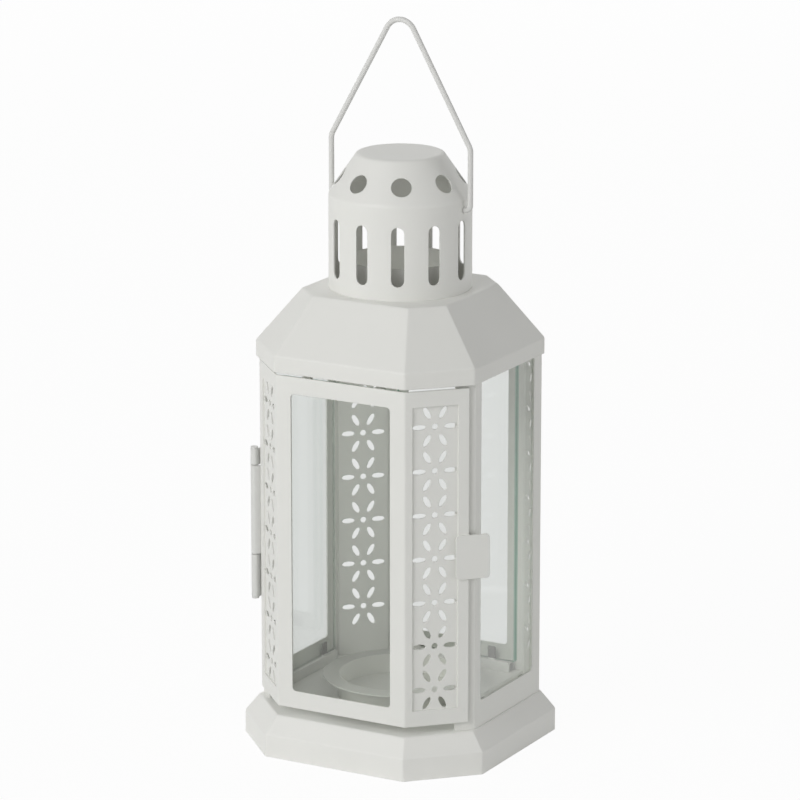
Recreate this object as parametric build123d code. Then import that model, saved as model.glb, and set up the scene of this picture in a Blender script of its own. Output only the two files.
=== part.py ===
from build123d import *
import os
from math import atan2, cos, degrees, hypot, radians, sin, sqrt, tan

# Punched sheet-metal candle lantern, millimetres, +Z up.
# The origin is the middle of the base's rest plane, the door faces -Y and its hinge is on -X.

# Body, an eight-sided plan: a square with its corners cut off
body_width = 89.0        # across the flat sides
corner_leg = 18.0        # what each cut corner takes off a side
wall_height = 135.3      # on the base's floor
wall_sheet = 0.6
fold_radius = 1.2        # outside radius of a vertical fold
stile_width = 6.1        # between a window and the fold beside it
sill_height = 9.7        # floor to a fixed window
head_height = 4.3        # fixed window to the wall's top edge
window_radius = 1.5
return_width = 4.2       # folded strip at each rear corner

# Base pan
pan_sheet = 0.7
base_overhang = 5.6      # skirt beyond the body
body_ledge = 0.5         # slope's top edge beyond the body
skirt_height = 8.4
floor_height = 15.0
pan_fold_radius = 1.2
hem_width = 2.5

# Candle cup
cup_sheet = 0.6
cup_seat_radius = 22.0   # inside, for a 39 mm tealight with room round it
cup_height = 8.0
cup_brim_width = 5.6

# Panes and what holds them
glass_thickness = 3.0
glass_edge_gap = 2.4     # pane's edge short of a fold
glass_top_gap = 0.2
ledge_rise = 3.9         # floor to the underside of a pane
ledge_depth = 4.4
ledge_end_gap = 3.5      # strip's end short of a fold
lug_sheet = 0.6
lug_width = 3.0
lug_height = 5.0
lug_stile_gap = 5.4      # lug's middle in from the edge of the window

# Door
door_lift = 3.5          # above the floor
door_head_gap = 1.1      # below the roof's edge
door_sill_width = 6.5
door_head_width = 6.4
door_glass_gap = 1.0     # pane's edge short of a fold
wing_gap = 1.5           # wing's edge short of the body's corner
post_setback = 1.4       # front posts behind the face of the corner
post_width = 7.7

# Punched flowers
plate_sheet = 0.6
plate_overlap = 1.2      # plate beyond the edge of its opening
opening_front_edge = 2.9     # door fold to the opening in a wing
opening_free_edge = 4.05     # opening to the wing's free edge
opening_end_edge = 5.95      # opening to the door's top or bottom edge
flower_count = 7
petal_count = 6
petal_length = 5.15
petal_width = 2.1
petal_gap = 0.05         # petal's tip short of the opening
eye_radius = 1.2
eye_sides = 8
door_flower_margin = 7.5     # first flower's middle from the end of its opening
corner_flower_low = 19.0     # first flower's middle above the floor, rear corners
corner_flower_high = 13.8    # last flower's middle below the wall's top

# Roof
roof_sheet = 0.7
roof_clearance = 0.2     # between the fascia and the walls
roof_seat = 0.3          # fold of the fascia above the walls
fascia_height = 5.9
roof_rise = 19.9
roof_rim = 3.6           # flat top beyond the chimney
roof_top_leg = 10.0
roof_fold_radius = 1.5
collar_radius = 19.5     # turned up round the vent
collar_height = 10.3

# Chimney
chimney_sheet = 0.6
chimney_radius = 26.1
shoulder_height = 34.5   # above the roof's flat top
cone_height = 15.0
cone_inset = 10.3        # cone's top edge in from the wall
shoulder_round = 3.0
rim_round = 2.0
slot_count = 12
slot_width = 4.7
slot_foot = 5.2          # below the slots
slot_head = 7.4          # above the slots, to the shoulder
slot_turn = -3.1         # of the first slot, from the front
slot_end_sides = 12      # of a whole circle
vent_count = 8
vent_radius = 3.7
vent_sides = 24
vent_height = 6.3        # above the shoulder
vent_turn = 30.0

# Bail
wire_radius = 1.0
pivot_drop = 3.8         # below the shoulder
pivot_clearance = 0.15
bail_gap = 1.6           # between a leg and the chimney
leg_height = 22.4        # pivot to the bend
arm_rise = 51.1          # bend to where the two arms' centre lines would meet
hook_length = 3.0        # inside the chimney's wall
hook_radius = 1.9
bend_radius = 4.8
top_bend_radius = 6.2

# Hinge
hinge_sheet = 0.5
pin_radius = 0.9
pin_clearance = 0.05
pin_head_radius = 1.35
pin_head_height = 0.7
hinge_stand_off = 1.8    # pin from the body's corner
hinge_lift = 34.3        # above the door's bottom edge
lower_knuckle = 16.2
middle_knuckle = 33.8
upper_knuckle = 6.0
knuckle_gap = 0.3
frame_leaf_width = 6.5
door_leaf_width = 2.6    # on the wing's inner face

# Latch tab
tab_sheet = 0.8
tab_width = 12.6
tab_height = 16.5
tab_grip = 5.0           # part of the width that lies on the wing
tab_radius = 1.4

# Plan worked out from the sizes above
half = body_width / 2
side_half = half - corner_leg
diagonal = sqrt(0.5)
half_fold = radians(22.5)
corner_half = corner_leg * diagonal
corner_plane = (half + side_half) * diagonal
post_fold = side_half - post_setback / diagonal
return_reach = corner_half - return_width
wing_reach = corner_half - wing_gap
post_reach = corner_half + post_setback - post_width
opening_low = -corner_half + opening_front_edge
opening_high = wing_reach - opening_free_edge
window_width = 2 * (side_half - stile_width)
lug_reach = window_width / 2 - lug_stile_gap
pane_reach = side_half - glass_edge_gap
post_pane_reach = post_fold - glass_edge_gap
door_pane_reach = side_half - door_glass_gap
pin_x = -half - hinge_stand_off * cos(half_fold)
pin_y = -side_half - hinge_stand_off * sin(half_fold)

# Levels worked out from the sizes above
ledge_top = floor_height + ledge_rise
wall_top = floor_height + wall_height
fascia_top = wall_top + roof_seat
fascia_bottom = fascia_top - fascia_height
roof_top = fascia_top + roof_rise
shoulder_level = roof_top + shoulder_height
door_bottom = floor_height + door_lift
door_top = fascia_bottom - door_head_gap
opening_bottom = door_bottom + opening_end_edge
opening_top = door_top - opening_end_edge
hinge_bottom = door_bottom + hinge_lift
lower_seam = hinge_bottom + lower_knuckle
middle_bottom = lower_seam + knuckle_gap
middle_top = middle_bottom + middle_knuckle
upper_seam = middle_top + knuckle_gap
hinge_top = upper_seam + upper_knuckle


def octagon(outset):
    """Face with the body's plan, its sides moved out by outset."""
    reach = half + outset
    cut = side_half + outset * tan(half_fold)
    corners = [(cut, -reach), (reach, -cut), (reach, cut), (cut, reach)]
    corners += [(-x, -y) for x, y in corners]
    return make_face(Polyline(*corners, close=True))


def corner_point(side_x, side_y, along, inset):
    """Plan point on a corner: along goes from its middle to the side face, inset goes inwards."""
    middle = corner_plane * diagonal
    x = side_x * (middle + (along - inset) * diagonal)
    y = side_y * (middle - (along + inset) * diagonal)
    return x, y


def inset_line(points, depth):
    """A plan line moved by depth to its left-hand side, which is the inside of the lantern."""
    normals = []
    for (x0, y0), (x1, y1) in zip(points, points[1:]):
        length = hypot(x1 - x0, y1 - y0)
        normals.append(((y0 - y1) / length, (x1 - x0) / length))
    moved = [(points[0][0] + depth * normals[0][0], points[0][1] + depth * normals[0][1])]
    for (x, y), first, second in zip(points[1:-1], normals, normals[1:]):
        share = depth / (1 + first[0] * second[0] + first[1] * second[1])
        moved.append((x + share * (first[0] + second[0]), y + share * (first[1] + second[1])))
    moved.append((points[-1][0] + depth * normals[-1][0], points[-1][1] + depth * normals[-1][1]))
    return moved


def folded_sheet(line, bottom, top):
    """Upright sheet folded along a plan line, with its thickness on the inside."""
    inner_line = inset_line(line, wall_sheet)
    outer = FilletPolyline(*line, radius=fold_radius)
    inner = FilletPolyline(*inner_line, radius=fold_radius - wall_sheet)
    ends = [Line(line[0], inner_line[0]), Line(line[-1], inner_line[-1])]
    plan = make_face([*outer.edges(), *inner.edges(), *ends])
    return extrude(Pos(0, 0, bottom) * plan, top - bottom)


def pressed_shell(block, mouth_level, sheet, radius):
    """A faceted block hollowed from below to the thickness of a sheet, with its outer folds rounded."""
    folds = [edge for edge in block.edges() if edge.bounding_box().max.Z > mouth_level + sheet]
    mouth = block.faces().sort_by(Axis.Z)[0]
    hollow = block - offset(block, amount=-sheet, openings=mouth, kind=Kind.INTERSECTION)
    return fillet(folds, radius) - hollow


def sloped(face, rise, inset):
    """Block on a face, with sides that lean in by inset over its rise."""
    return extrude(face, rise, taper=degrees(atan2(inset, rise)))


def front_prism(sketch, distance, depth):
    """A sketch in X and Z, pushed inwards by depth from distance in front of the axis."""
    return extrude(Plane.XZ.offset(distance) * sketch, -depth)


def framed(low, high, bottom, top, radius=0.0):
    """Rectangle between two X values and two heights."""
    width = high - low
    height = top - bottom
    outline = RectangleRounded(width, height, radius) if radius else Rectangle(width, height)
    return Pos((low + high) / 2, (bottom + top) / 2) * outline


def turned(shape, angle):
    """A piece made at the front, turned about the lantern's axis."""
    return Rot(0, 0, angle) * shape


def window_cut(bottom, top):
    """Cutter for a window in the front face."""
    outline = framed(-window_width / 2, window_width / 2, bottom, top, window_radius)
    return front_prism(outline, half + wall_sheet, 3 * wall_sheet)


def edge_lugs(edge, inward):
    """Lugs folded from a sheet's top or bottom edge round the edge of the front pane."""
    depth = glass_thickness + lug_sheet
    back = half - wall_sheet
    turn = sorted((edge, edge + inward * lug_sheet))
    lip = sorted((edge, edge + inward * lug_height))
    lugs = []
    for middle in (-lug_reach, lug_reach):
        sides = (middle - lug_width / 2, middle + lug_width / 2)
        lugs.append(front_prism(framed(*sides, *turn), back, depth))
        lugs.append(front_prism(framed(*sides, *lip), back - glass_thickness, lug_sheet))
    return lugs


def window_panel(line, angle):
    """Fixed wall on one side: a folded window frame with two pane lugs at its top edge."""
    sheet = folded_sheet(line, floor_height, wall_top)
    sheet -= turned(window_cut(floor_height + sill_height, wall_top - head_height), angle)
    for lug in edge_lugs(wall_top, -1):
        sheet += turned(lug, angle)
    return sheet


def side_line(side_x):
    """Fold line of a side wall, anticlockwise: front post, two folds and rear return."""
    line = [
        corner_point(side_x, -1, post_reach, post_setback),
        corner_point(side_x, -1, corner_half + post_setback, post_setback),
        corner_point(side_x, 1, corner_half, 0),
        corner_point(side_x, 1, return_reach, 0),
    ]
    return line if side_x > 0 else line[::-1]


def rear_line():
    """Fold line of the rear wall, anticlockwise."""
    return [
        corner_point(1, 1, -return_reach, 0),
        corner_point(1, 1, -corner_half, 0),
        corner_point(-1, 1, -corner_half, 0),
        corner_point(-1, 1, -return_reach, 0),
    ]


def door_line():
    """Fold line of the door, anticlockwise."""
    return [
        corner_point(-1, -1, wing_reach, 0),
        corner_point(-1, -1, -corner_half, 0),
        corner_point(1, -1, -corner_half, 0),
        corner_point(1, -1, wing_reach, 0),
    ]


def base_pan():
    """Pressed pan: skirt, slope and floor in one sheet, with a hem turned in at the bottom."""
    skirt_face = octagon(base_overhang)
    slope_face = Pos(0, 0, skirt_height) * skirt_face
    block = extrude(skirt_face, skirt_height)
    block += sloped(slope_face, floor_height - skirt_height, base_overhang - body_ledge)
    pan = pressed_shell(block, 0, pan_sheet, pan_fold_radius)
    hem_outset = base_overhang - pan_sheet / 2
    hem = octagon(hem_outset) - octagon(hem_outset - hem_width)
    return pan + extrude(hem, pan_sheet)


def candle_cup():
    """Round cup with a flat brim, turned about the lantern's axis."""
    wall = cup_seat_radius + cup_sheet
    brim = cup_seat_radius + cup_brim_width + cup_sheet
    profile = [
        (0, 0),
        (wall, 0),
        (wall, cup_height - cup_sheet),
        (brim, cup_height - cup_sheet),
        (brim, cup_height),
        (cup_seat_radius, cup_height),
        (cup_seat_radius, cup_sheet),
        (0, cup_sheet),
    ]
    cup = revolve(Plane.XZ * make_face(Polyline(*profile, close=True)), Axis.Z)
    return Pos(0, 0, floor_height) * cup


def glass_ledge():
    """Channel under the front pane: a seat between two legs on the floor, and two lugs."""
    back = half - wall_sheet
    reach = side_half - ledge_end_gap
    strip = front_prism(framed(-reach, reach, ledge_top - lug_sheet, ledge_top), back, ledge_depth)
    for leg_face in (back, back - ledge_depth + lug_sheet):
        strip += front_prism(framed(-reach, reach, floor_height, ledge_top), leg_face, lug_sheet)
    for middle in (-lug_reach, lug_reach):
        sides = (middle - lug_width / 2, middle + lug_width / 2)
        lug = framed(*sides, ledge_top - lug_sheet, ledge_top + lug_height)
        strip += front_prism(lug, back - glass_thickness, lug_sheet)
    return strip


def pane(left, right, bottom, top):
    """Pane behind the front wall, between two X values and two heights."""
    return front_prism(framed(left, right, bottom, top), half - wall_sheet, glass_thickness)


def wall_pane(left, right):
    """Pane on its ledge behind a fixed wall."""
    return pane(left, right, ledge_top, wall_top - lug_sheet - glass_top_gap)


def flower():
    """Petals round an eye, as wide as the opening in a door wing."""
    outer_tip = (opening_high - opening_low) / 2 - petal_gap
    shares = ((0.0, 0.0), (0.14, 0.72), (0.5, 1.0), (0.86, 0.72), (1.0, 0.0))
    side = [(outer_tip - petal_length * share, width * petal_width / 2) for share, width in shares]
    other_side = [(x, -y) for x, y in side[-2:0:-1]]
    petal = make_face(Polyline(*side, *other_side, close=True))
    petals = [Rot(0, 0, 360 / petal_count * i) * petal for i in range(petal_count)]
    return petals + [RegularPolygon(eye_radius, eye_sides)]


def punched_plate(low, high, bottom, top, flower_place, first, last):
    """Flat plate behind a corner, made at the front, with a column of flowers."""
    pitch = (last - first) / (flower_count - 1)
    holes = []
    for i in range(flower_count):
        holes += [Pos(flower_place, first + pitch * i) * hole for hole in flower()]
    return front_prism(framed(low, high, bottom, top) - holes, corner_plane - wall_sheet, plate_sheet)


def rear_corner_plate():
    """Plate that closes a rear corner behind the two folded returns."""
    reach = return_reach + plate_overlap
    flower_ends = (floor_height + corner_flower_low, wall_top - corner_flower_high)
    return punched_plate(-reach, reach, floor_height, wall_top, 0, *flower_ends)


def wing_sides(hand):
    """X values of the opening in a door wing made at the front; hand is 1 on the right, -1 on the left."""
    return sorted((hand * opening_low, hand * opening_high))


def door_corner_plate(hand):
    """Plate behind the opening in a door wing."""
    low, high = wing_sides(hand)
    levels = (opening_bottom - plate_overlap, opening_top + plate_overlap)
    flower_ends = (opening_bottom + door_flower_margin, opening_top - door_flower_margin)
    return punched_plate(low - plate_overlap, high + plate_overlap, *levels, (low + high) / 2, *flower_ends)


def door_panel():
    """Folded door: window frame, two wings with openings, and four pane lugs."""
    sheet = folded_sheet(door_line(), door_bottom, door_top)
    sheet -= window_cut(door_bottom + door_sill_width, door_top - door_head_width)
    for hand in (-1, 1):
        outline = framed(*wing_sides(hand), opening_bottom, opening_top)
        sheet -= turned(front_prism(outline, corner_plane + wall_sheet, 3 * wall_sheet), hand * 45)
    for lug in edge_lugs(door_bottom, 1) + edge_lugs(door_top, -1):
        sheet += lug
    return sheet


def roof():
    """Pressed roof: fascia, eight slopes and a flat top with an upturned vent collar."""
    outset = roof_clearance + roof_sheet
    top_reach = chimney_radius + roof_rim
    top_corner = (2 * top_reach - roof_top_leg) * diagonal
    slopes = []
    for reach, top in ((half + outset, top_reach), (corner_plane + outset, top_corner)):
        eave_face = Pos(0, 0, fascia_top) * Rectangle(2 * reach, 2 * reach)
        slopes.append(sloped(eave_face, roof_rise, reach - top))
    block = extrude(Pos(0, 0, fascia_bottom) * octagon(outset), fascia_height)
    block += slopes[0] & turned(slopes[1], 45)
    shell = pressed_shell(block, fascia_bottom, roof_sheet, roof_fold_radius)
    foot = Pos(0, 0, roof_top - roof_sheet)
    collar = extrude(foot * Circle(collar_radius), roof_sheet + collar_height)
    vent = extrude(foot * Circle(collar_radius - roof_sheet), roof_sheet + collar_height)
    return shell + collar - vent


def cap_block(inset, rounds=None):
    """Solid of revolution inside the chimney's outline by inset, with its two bends sharp or rounded."""
    slant = hypot(cone_inset, cone_height)
    wall = chimney_radius - inset
    top = shoulder_level + cone_height - inset
    shoulder = shoulder_level - inset * (slant - cone_height) / cone_inset
    rim = wall - (top - shoulder) * cone_inset / cone_height
    bends = [(wall, roof_top), (wall, shoulder), (rim, top), (0, top)]
    outline = FilletPolyline(*bends, radius=rounds) if rounds else Polyline(*bends)
    axis_side = Polyline((0, top), (0, roof_top), (wall, roof_top))
    return revolve(Plane.XZ * make_face([*outline.edges(), *axis_side.edges()]), Axis.Z)


def chimney():
    """Drawn vent cap with slots round its wall, round vents in its cone and two bail holes."""
    cap = cap_block(0, [shoulder_round, rim_round]) - cap_block(chimney_sheet)
    slot_ends = (roof_top + slot_foot + slot_width / 2, shoulder_level - slot_head - slot_width / 2)
    slot = framed(-slot_width / 2, slot_width / 2, *slot_ends)
    slot += [Pos(0, level) * RegularPolygon(slot_width / 2, slot_end_sides) for level in slot_ends]
    slot_cut = front_prism(slot, chimney_radius + chimney_sheet, slot_width)
    cap -= [turned(slot_cut, slot_turn + 360 / slot_count * i) for i in range(slot_count)]
    slant = hypot(cone_inset, cone_height)
    vent_place = (0, -chimney_radius + cone_inset * vent_height / cone_height, shoulder_level + vent_height)
    outward = (0, -cone_height / slant, cone_inset / slant)
    vent_plane = Plane(origin=vent_place, x_dir=(1, 0, 0), z_dir=outward)
    vent_cut = extrude(vent_plane * RegularPolygon(vent_radius, vent_sides), vent_radius, both=True)
    cap -= [turned(vent_cut, vent_turn + 360 / vent_count * i) for i in range(vent_count)]
    pivot = Pos(0, 0, shoulder_level - pivot_drop) * Rot(0, 90, 0)
    return cap - pivot * Cylinder(wire_radius + pivot_clearance, 2 * (chimney_radius + chimney_sheet))


def bail():
    """Wire handle: two hooks through the chimney, two legs and two slanted arms to a round top."""
    pivot = shoulder_level - pivot_drop
    leg = chimney_radius + bail_gap + wire_radius
    bend = pivot + leg_height
    right = [(chimney_radius - chimney_sheet - hook_length, pivot), (leg, pivot), (leg, bend)]
    left = [(-x, z) for x, z in reversed(right)]
    radii = [hook_radius, bend_radius, top_bend_radius, bend_radius, hook_radius]
    path = Plane.XZ * FilletPolyline(*right, (0, bend + arm_rise), *left, radius=radii)
    return sweep(Plane(origin=path @ 0, z_dir=path % 0) * Circle(wire_radius), path)


def knuckle(bottom, top):
    """Rolled tube round the pin between two heights, still without its bore."""
    outside = Circle(pin_radius + pin_clearance + hinge_sheet)
    return extrude(Pos(pin_x, pin_y, bottom) * outside, top - bottom)


def pin_bore():
    """Cutter for the pin's bore along the whole hinge."""
    bore = Circle(pin_radius + pin_clearance)
    return extrude(Pos(pin_x, pin_y, hinge_bottom) * bore, hinge_top - hinge_bottom)


def hinge_frame_leaf():
    """Strip on the outside of the left wall with the lower and upper knuckles."""
    wall_edge = -post_fold + fold_radius * tan(half_fold)
    strip = Rectangle(hinge_sheet, frame_leaf_width, align=(Align.MAX, Align.MIN))
    leaf = extrude(Pos(-half, wall_edge, hinge_bottom) * strip, hinge_top - hinge_bottom)
    tongue = Rectangle(hinge_sheet, wall_edge - pin_y, align=(Align.MAX, Align.MIN))
    for bottom, top in ((hinge_bottom, lower_seam), (upper_seam, hinge_top)):
        leaf += extrude(Pos(-half, pin_y, bottom) * tongue, top - bottom)
        leaf += knuckle(bottom, top)
    return leaf - pin_bore()


def hinge_door_leaf():
    """Strip inside the left door wing, turned out past its edge to the middle knuckle."""
    pin_along = (pin_y - pin_x) * diagonal
    pin_outset = -(pin_x + pin_y) * diagonal - corner_plane
    turn_low = pin_along - pin_radius - pin_clearance - hinge_sheet
    turn_high = turn_low + hinge_sheet
    inside = wall_sheet + hinge_sheet
    section = [
        corner_point(-1, -1, wing_reach - door_leaf_width, wall_sheet),
        corner_point(-1, -1, turn_low, wall_sheet),
        corner_point(-1, -1, turn_low, -pin_outset),
        corner_point(-1, -1, turn_high, -pin_outset),
        corner_point(-1, -1, turn_high, inside),
        corner_point(-1, -1, wing_reach - door_leaf_width, inside),
    ]
    leaf = extrude(Pos(0, 0, middle_bottom) * make_face(Polyline(*section, close=True)), middle_knuckle)
    return leaf + knuckle(middle_bottom, middle_top) - pin_bore()


def hinge_pin():
    """Wire pin with a peened head at each end."""
    pin = extrude(Pos(pin_x, pin_y, hinge_bottom) * Circle(pin_radius), hinge_top - hinge_bottom)
    pin += extrude(Pos(pin_x, pin_y, hinge_top) * Circle(pin_head_radius), pin_head_height)
    return pin + extrude(Pos(pin_x, pin_y, hinge_bottom) * Circle(pin_head_radius), -pin_head_height)


def latch_tab():
    """Flat pull tab on the free wing, reaching past the corner of the body."""
    low = wing_reach - tab_grip
    middle = (door_bottom + door_top) / 2
    outline = framed(low, low + tab_width, middle - tab_height / 2, middle + tab_height / 2, tab_radius)
    return turned(front_prism(outline, corner_plane + tab_sheet, tab_sheet), 45)


nodes = {
    "base_pan": base_pan(),
    "candle_cup": candle_cup(),
    "left_panel": window_panel(side_line(-1), -90),
    "rear_panel": window_panel(rear_line(), 180),
    "right_panel": window_panel(side_line(1), 90),
    "rear_left_corner_plate": turned(rear_corner_plate(), -135),
    "rear_right_corner_plate": turned(rear_corner_plate(), 135),
    "left_glass_ledge": turned(glass_ledge(), -90),
    "rear_glass_ledge": turned(glass_ledge(), 180),
    "right_glass_ledge": turned(glass_ledge(), 90),
    "left_glass": turned(wall_pane(-pane_reach, post_pane_reach), -90),
    "rear_glass": turned(wall_pane(-pane_reach, pane_reach), 180),
    "right_glass": turned(wall_pane(-post_pane_reach, pane_reach), 90),
    "roof": roof(),
    "chimney": chimney(),
    "hinge_frame_leaf": hinge_frame_leaf(),
    "hinge_pin": hinge_pin(),
    "door_panel": door_panel(),
    "door_left_corner_plate": turned(door_corner_plate(-1), -45),
    "door_right_corner_plate": turned(door_corner_plate(1), 45),
    "door_glass": pane(-door_pane_reach, door_pane_reach, door_bottom + lug_sheet,
                       door_top - lug_sheet - glass_top_gap),
    "hinge_door_leaf": hinge_door_leaf(),
    "latch_tab": latch_tab(),
    "bail": bail(),
}

os.makedirs("parts", exist_ok=True)
for name, shape in nodes.items():
    export_step(shape, f"parts/{name}.step")
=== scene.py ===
import bmesh
import bpy
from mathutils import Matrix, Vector


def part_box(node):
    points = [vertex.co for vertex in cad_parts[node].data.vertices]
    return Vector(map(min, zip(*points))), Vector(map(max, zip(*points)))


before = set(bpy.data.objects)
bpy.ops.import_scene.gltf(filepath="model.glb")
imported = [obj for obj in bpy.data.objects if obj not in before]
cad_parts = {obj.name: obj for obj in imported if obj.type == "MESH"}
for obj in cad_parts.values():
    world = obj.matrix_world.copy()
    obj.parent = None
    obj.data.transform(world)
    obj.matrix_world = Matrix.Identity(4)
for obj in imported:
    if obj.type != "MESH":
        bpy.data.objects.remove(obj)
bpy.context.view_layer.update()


# Base pan: one sheet of mild steel pressed into a skirt, a slope and a floor, with its bottom edge
# turned in. It is powder coated a warm white all over, which leaves a fine orange peel.
class Link:
    """One output of a node. Sums with it add Math nodes, and make() adds any other node."""

    def __init__(self, tree, socket=None):
        self.tree = tree
        self.socket = socket

    def make(self, kind, settings, sockets, output=0):
        """Adds a node, sets it, then gives its sockets, by name or number, their values or links."""
        node = self.tree.nodes.new(kind)
        for name, value in settings.items():
            setattr(node, name, value)
        for name, value in sockets.items():
            if isinstance(value, Link):
                self.tree.links.new(value.socket, node.inputs[name])
            else:
                node.inputs[name].default_value = value
        return Link(self.tree, node.outputs[output] if node.outputs else None)

    def maths(self, operation, *values):
        return self.make("ShaderNodeMath", {"operation": operation}, dict(enumerate(values)))

    def __add__(self, other):
        return self.maths("ADD", self, other)

    def __radd__(self, other):
        return self.maths("ADD", other, self)

    def __sub__(self, other):
        return self.maths("SUBTRACT", self, other)

    def __rsub__(self, other):
        return self.maths("SUBTRACT", other, self)

    def __mul__(self, other):
        return self.maths("MULTIPLY", self, other)

    def __rmul__(self, other):
        return self.maths("MULTIPLY", other, self)

    def __or__(self, other):
        return self.maths("MAXIMUM", self, other)

    def __ror__(self, other):
        return self.maths("MAXIMUM", other, self)

    def __lt__(self, other):
        return self.maths("LESS_THAN", self, other)

    def __gt__(self, other):
        return self.maths("GREATER_THAN", self, other)

    def __abs__(self):
        return self.maths("ABSOLUTE", self)

    def along(self, axis):
        """One coordinate of a vector."""
        return self.make("ShaderNodeSeparateXYZ", {}, {"Vector": self}, axis)

    def mix_colours(self, first, second):
        """Two colours, with this link as the share of the second.

        A Mix node takes colours at its sockets 6 and 7 and gives one at its output 2.
        """
        sockets = {"Factor": self, 6: first, 7: second}
        return self.make("ShaderNodeMix", {"data_type": "RGBA"}, sockets, 2)

    def mix_shaders(self, first, second):
        """Two shaders, with this link as the share of the second."""
        return self.make("ShaderNodeMixShader", {}, {0: self, 1: first, 2: second})


def new_material(name):
    """An empty node material, with a Link to start its nodes from."""
    material = bpy.data.materials.new(name)
    material.use_nodes = True
    material.node_tree.nodes.clear()
    return material, Link(material.node_tree)


def show(material, surface):
    """Connects a shader to the material's output."""
    surface.make("ShaderNodeOutputMaterial", {}, {"Surface": surface})
    return material


def dress(material, *names):
    """Gives CAD nodes a finish; their meshes stay as they are."""
    for name in names:
        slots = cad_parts[name].data.materials
        slots.clear()
        slots.append(material)


def mottle(place, per_metre, detail, roughness=0.5):
    """Soft blots all over, about so many to a metre."""
    return place.make("ShaderNodeTexNoise", {}, {
        "Vector": place, "Scale": per_metre, "Detail": detail, "Roughness": roughness})


clouds_per_metre = 38.0
peel_per_metre = 620.0
grit_per_metre = 2400.0
grit_share = 0.2
peel_strength = 0.22
satin_roughness = 0.40
peel_roughness = 0.16
satin_gloss = 0.42
edge_samples = 6


def powder_coat(name, white, shade, peel_depth, shift, edge_round=0.00035, patch=None, patch_tone=None):
    """Satin powder coat: a warm white with faint cloudy changes, orange peel and fine grit.

    shift gives each coat its own stretch of the pattern. patch takes the place on the lantern and
    gives the share of patch_tone there.
    """
    material, start = new_material(name)
    where = start.make("ShaderNodeTexCoord", {}, {}, "Object")
    place = start.make("ShaderNodeMapping", {}, {"Vector": where, "Location": shift})
    colour = mottle(place, clouds_per_metre, detail=3.0, roughness=0.55).mix_colours(white, shade)
    if patch:
        colour = patch(where).mix_colours(colour, patch_tone)
    peel = mottle(place, peel_per_metre, detail=1.5)
    grit = mottle(place, grit_per_metre, detail=1.0)
    soft_edge = start.make("ShaderNodeBevel", {"samples": edge_samples}, {"Radius": edge_round})
    bump = start.make("ShaderNodeBump", {}, {
        "Strength": peel_strength, "Distance": peel_depth,
        "Height": peel * (1.0 - grit_share) + grit * grit_share, "Normal": soft_edge})
    coat = start.make("ShaderNodeBsdfPrincipled", {}, {
        "Base Color": colour, "Roughness": satin_roughness + peel * peel_roughness,
        "Specular IOR Level": satin_gloss, "Normal": bump})
    return show(material, coat)


# The base's two whites are painted lighter than the walls', as painted light thrown up from the floor.
base_painted_light_white = (0.908, 0.907, 0.872, 1.0)
base_painted_light_shade = (0.880, 0.880, 0.844, 1.0)
base_coat = powder_coat("base_coat", base_painted_light_white, base_painted_light_shade, peel_depth=0.00009, shift=(0.0, 0.0, 0.0))
dress(base_coat, "base_pan")


# Candle cup: a small round dish with a flat brim, drawn from thin steel and fixed to the floor.
# It carries the same coat, painted darker on the brim as painted shade.
# Painted shade: the brim's two tones are darker than the well's.
painted_shade_brim_white = (0.662, 0.667, 0.624, 1.0)
painted_shade_brim_dark = (0.622, 0.628, 0.584, 1.0)
well_white = (0.800, 0.803, 0.762, 1.0)
brim_width = 0.0059
cup_low, cup_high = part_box("candle_cup")
well_radius = (cup_high[0] - cup_low[0]) / 2 - brim_width


def in_the_well(where):
    """1 inside the brim, 0 on it."""
    flat = where.make("ShaderNodeVectorMath", {"operation": "MULTIPLY"}, {0: where, 1: (1.0, 1.0, 0.0)})
    radius = flat.make("ShaderNodeVectorMath", {"operation": "LENGTH"}, {0: flat}, "Value")
    return radius < well_radius


cup_coat = powder_coat("cup_coat", painted_shade_brim_white, painted_shade_brim_dark, peel_depth=0.00009, shift=(0.31, 0.0, 0.0),
                       patch=in_the_well, patch_tone=well_white)
dress(cup_coat, "candle_cup")


# Walls and their corner plates: thin steel, folded at the corners, with stamped windows and flowers.
# The plates are spot welded behind the folded edges before the whole is coated.
wall_white = (0.858, 0.860, 0.822, 1.0)
wall_shade = (0.830, 0.833, 0.794, 1.0)
wall_coat = powder_coat("wall_coat", wall_white, wall_shade, peel_depth=0.00008, shift=(0.0, 0.47, 0.0))
dress(wall_coat, "left_panel", "rear_panel", "right_panel")
dress(wall_coat, "rear_left_corner_plate", "rear_right_corner_plate")


# Glass ledges: strips bent to a channel, which stand on the floor along the walls and carry the panes.
# Two lugs on each hold its pane to the wall. Above the seat of the pane, where they stand, the ledges
# are coloured dark grey.
ledge_white = (0.858, 0.860, 0.826, 1.0)
ledge_shade = (0.830, 0.833, 0.798, 1.0)
lug_dark_grey = (0.235, 0.230, 0.215, 1.0)
lug_rise = 0.0045
lug_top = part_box("rear_glass_ledge")[1][2]
lug_foot = lug_top - lug_rise


def on_the_lugs(where):
    """1 on the lugs, which stand above the seat of the pane."""
    return where.along("Z") > lug_foot


ledge_coat = powder_coat("ledge_coat", ledge_white, ledge_shade, peel_depth=0.00008,
                         shift=(0.0, 0.0, 0.83), patch=on_the_lugs, patch_tone=lug_dark_grey)
dress(ledge_coat, "left_glass_ledge", "rear_glass_ledge", "right_glass_ledge")


# Panes: plain float glass about 3 mm thick with cut and dulled edges, held behind the windows by lugs.
# The edges look green, most of all along their middle, because the light there has come a long way
# through the glass. Those of the left pane are painted greyer than the others, as painted shade.
glass_tint = (0.895, 0.910, 0.898, 1.0)
glass_index = 1.5
face_roughness = 0.015
cut_roughness = 0.35
cut_clearness = 0.35
edge_lean = 0.7
line_share = 0.44
light_tint = (0.960, 0.968, 0.955, 1.0)


def ray(start, kind):
    """1 for one kind of ray, such as Shadow."""
    return start.make("ShaderNodeLightPath", {}, {}, f"Is {kind} Ray")


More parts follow.
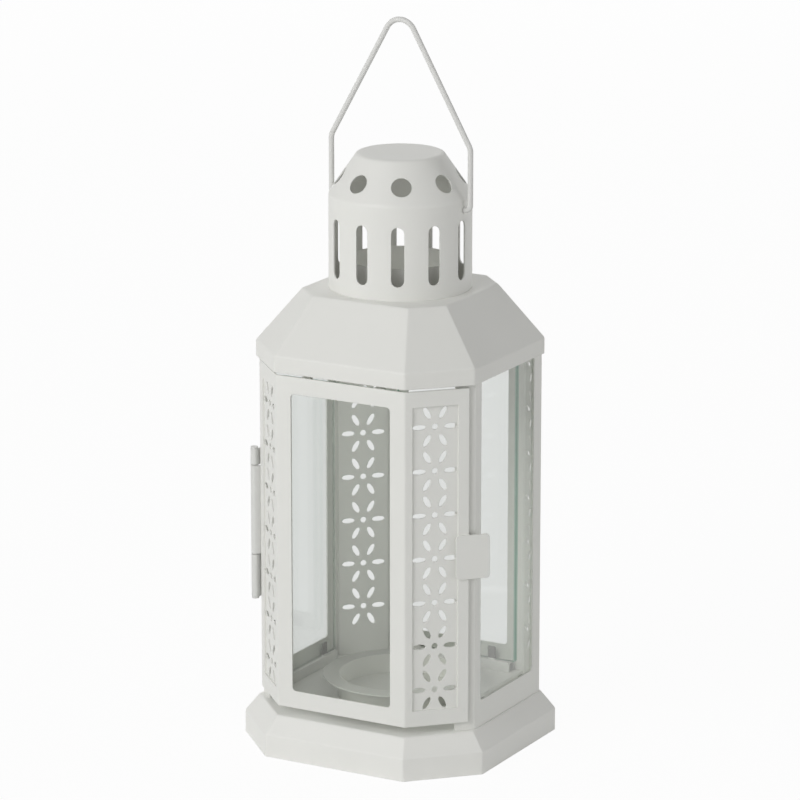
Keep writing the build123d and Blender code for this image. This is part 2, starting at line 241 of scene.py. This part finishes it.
def pane_glass(node, edge_tone, line_tone):
    """Clear glass for one pane, with edges toned in two shades; light passes straight through it."""
    low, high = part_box(node)
    thickness, across = min((high[axis] - low[axis], axis) for axis in (0, 1))
    middle = (low[across] + high[across]) / 2
    half_line = thickness * line_share / 2
    through = "XY"[across]
    material, start = new_material(node + "_clear")
    facing = start.make("ShaderNodeTexCoord", {}, {}, "Normal")
    where = start.make("ShaderNodeTexCoord", {}, {}, "Object")
    edge = abs(facing.along(through)) < edge_lean
    line = abs(where.along(through) - middle) < half_line
    face = start.make("ShaderNodeBsdfPrincipled", {}, {
        "Base Color": glass_tint, "Roughness": face_roughness, "IOR": glass_index,
        "Transmission Weight": 1.0})
    cut = start.make("ShaderNodeBsdfPrincipled", {}, {
        "Base Color": line.mix_colours(edge_tone, line_tone), "Roughness": cut_roughness,
        "IOR": glass_index, "Transmission Weight": cut_clearness})
    passing = start.make("ShaderNodeBsdfTransparent", {}, {"Color": light_tint})
    lighting = ray(start, "Shadow") | ray(start, "Diffuse")
    return show(material, lighting.mix_shaders(edge.mix_shaders(face, cut), passing))


sea_green = (0.30, 0.63, 0.48, 1.0)
deep_green = (0.06, 0.35, 0.23, 1.0)
painted_shade_edge_green = (0.50, 0.56, 0.51, 1.0)
painted_shade_line_green = (0.38, 0.44, 0.39, 1.0)
dress(pane_glass("left_glass", painted_shade_edge_green, painted_shade_line_green), "left_glass")
for pane in ("rear_glass", "right_glass", "door_glass"):
    dress(pane_glass(pane, sea_green, deep_green), pane)


# Door: the front face and both front corners in one folded steel sheet, with its own plates and tab.
# It hangs on a rolled hinge with a wire pin at the left, whose coat is a little smoother and greyer.
door_white = (0.860, 0.862, 0.826, 1.0)
door_shade = (0.833, 0.836, 0.798, 1.0)
door_coat = powder_coat("door_coat", door_white, door_shade, peel_depth=0.00008, shift=(0.0, 0.0, 0.29))
dress(door_coat, "door_panel", "door_left_corner_plate", "door_right_corner_plate", "latch_tab")
hinge_white = (0.770, 0.772, 0.752, 1.0)
hinge_shade = (0.725, 0.728, 0.706, 1.0)
hinge_coat = powder_coat("hinge_coat", hinge_white, hinge_shade, peel_depth=0.00006,
                         shift=(0.61, 0.0, 0.0))
dress(hinge_coat, "hinge_frame_leaf", "hinge_door_leaf", "hinge_pin")


# Roof: one pressing of thin steel with a short fascia, eight slopes and a collar turned up round the
# vent. It sits over the top edges of the walls, under the same white coat.
roof_white = (0.864, 0.864, 0.828, 1.0)
roof_shade = (0.836, 0.837, 0.800, 1.0)
roof_coat = powder_coat("roof_coat", roof_white, roof_shade, peel_depth=0.00010, shift=(0.0, 0.73, 0.0))
dress(roof_coat, "roof")


# Chimney: a cap drawn from thin steel, with stamped slots and vents. It stands on the roof round the
# vent's collar and carries the roof's colours.
chimney_coat = powder_coat("chimney_coat", roof_white, roof_shade, peel_depth=0.00010,
                           shift=(0.0, 0.0, 0.57))
dress(chimney_coat, "chimney")


# Bail: one length of 2 mm steel wire, bent to shape and hooked into the chimney.
# Its coat is thin and smooth, and a little greyer than the roof's.
wire_white = (0.780, 0.780, 0.760, 1.0)
wire_shade = (0.735, 0.735, 0.714, 1.0)
wire_coat = powder_coat("wire_coat", wire_white, wire_shade, peel_depth=0.00002, shift=(0.19, 0.0, 0.0),
                        edge_round=0.0)
dress(wire_coat, "bail")


# Studio: a wide pale floor, a large soft lamp in front at the left, one at the right, a third behind
# that leaves no highlight, and a little even light all round. The floor and the surroundings look
# white to the camera and in the glass.
pure_white = (1.0, 1.0, 1.0, 1.0)
floor_tone = (0.90, 0.90, 0.89, 1.0)
floor_glow = 0.955
glass_dimming = 0.14
floor_reach = 6.0
even_light = 0.288
overhead_loss = 0.04
lantern_middle = Vector((0.0, 0.0, 0.12))


def looked_at(start):
    """1 for rays that show a thing, straight, in a gloss or through glass, and how bright it looks."""
    in_glass = ray(start, "Transmission")
    seen = ray(start, "Camera") | ray(start, "Glossy") | in_glass
    return seen, 1.0 - in_glass * glass_dimming


def pale_floor():
    """Floor that keeps the lantern's shadow but looks close to white."""
    material, start = new_material("pale_floor")
    seen, brightness = looked_at(start)
    matt = start.make("ShaderNodeBsdfDiffuse", {}, {"Color": floor_tone})
    bright = start.make("ShaderNodeEmission", {}, {"Color": pure_white, "Strength": brightness})
    return show(material, (seen * floor_glow).mix_shaders(matt, bright))


floor_mesh = bpy.data.meshes.new("floor")
sheet = bmesh.new()
bmesh.ops.create_grid(sheet, x_segments=1, y_segments=1, size=floor_reach)
sheet.to_mesh(floor_mesh)
sheet.free()
floor_mesh.materials.append(pale_floor())
floor = bpy.data.objects.new("floor", floor_mesh)
bpy.context.scene.collection.objects.link(floor)

world = bpy.data.worlds.new("studio")
bpy.context.scene.world = world
world.use_nodes = True
world.node_tree.nodes.clear()
around = Link(world.node_tree)
seen, brightness = looked_at(around)
height = around.make("ShaderNodeTexCoord", {}, {}, "Generated").along("Z")
fill = around.make("ShaderNodeBackground", {}, {
    "Color": pure_white, "Strength": even_light - height * overhead_loss})
white = around.make("ShaderNodeBackground", {}, {"Color": pure_white, "Strength": brightness})
around.make("ShaderNodeOutputWorld", {}, {"Surface": seen.mix_shaders(fill, white)})


def soft_lamp(name, place, width, energy, shine=True):
    """Square soft box that looks at the lantern; without shine it leaves no highlight."""
    data = bpy.data.lights.new(name, "AREA")
    data.shape = "SQUARE"
    data.size = width
    data.energy = energy
    lamp = bpy.data.objects.new(name, data)
    bpy.context.scene.collection.objects.link(lamp)
    lamp.location = place
    lamp.visible_glossy = shine
    lamp.rotation_mode = "QUATERNION"
    lamp.rotation_quaternion = (lantern_middle - lamp.location).to_track_quat("-Z", "Y")


soft_lamp("front_lamp", place=(-0.60, -2.05, 1.20), width=1.5, energy=30.2)
soft_lamp("side_lamp", place=(2.15, 0.42, 0.52), width=1.2, energy=7.1)
soft_lamp("rear_lamp", place=(-1.10, 2.00, 0.80), width=1.4, energy=13.0, shine=False)


# Camera: a long lens in front and to the right of the lantern, looking slightly down.
# The lantern fills the square picture from the base to the top of the bail.
camera_place = (0.7679, -1.3821, 0.5441)
sight = Vector((-0.4697, 0.8452, -0.2549))
camera_data = bpy.data.cameras.new("camera")
camera_data.sensor_width = 36.0
camera_data.lens = 201.0
camera_data.clip_start = 0.01
camera_data.clip_end = 50.0
camera = bpy.data.objects.new("camera", camera_data)
bpy.context.scene.collection.objects.link(camera)
camera.location = camera_place
camera.rotation_mode = "QUATERNION"
camera.rotation_quaternion = sight.to_track_quat("-Z", "Y")
bpy.context.scene.camera = camera
bpy.context.scene.view_settings.view_transform = "Standard"
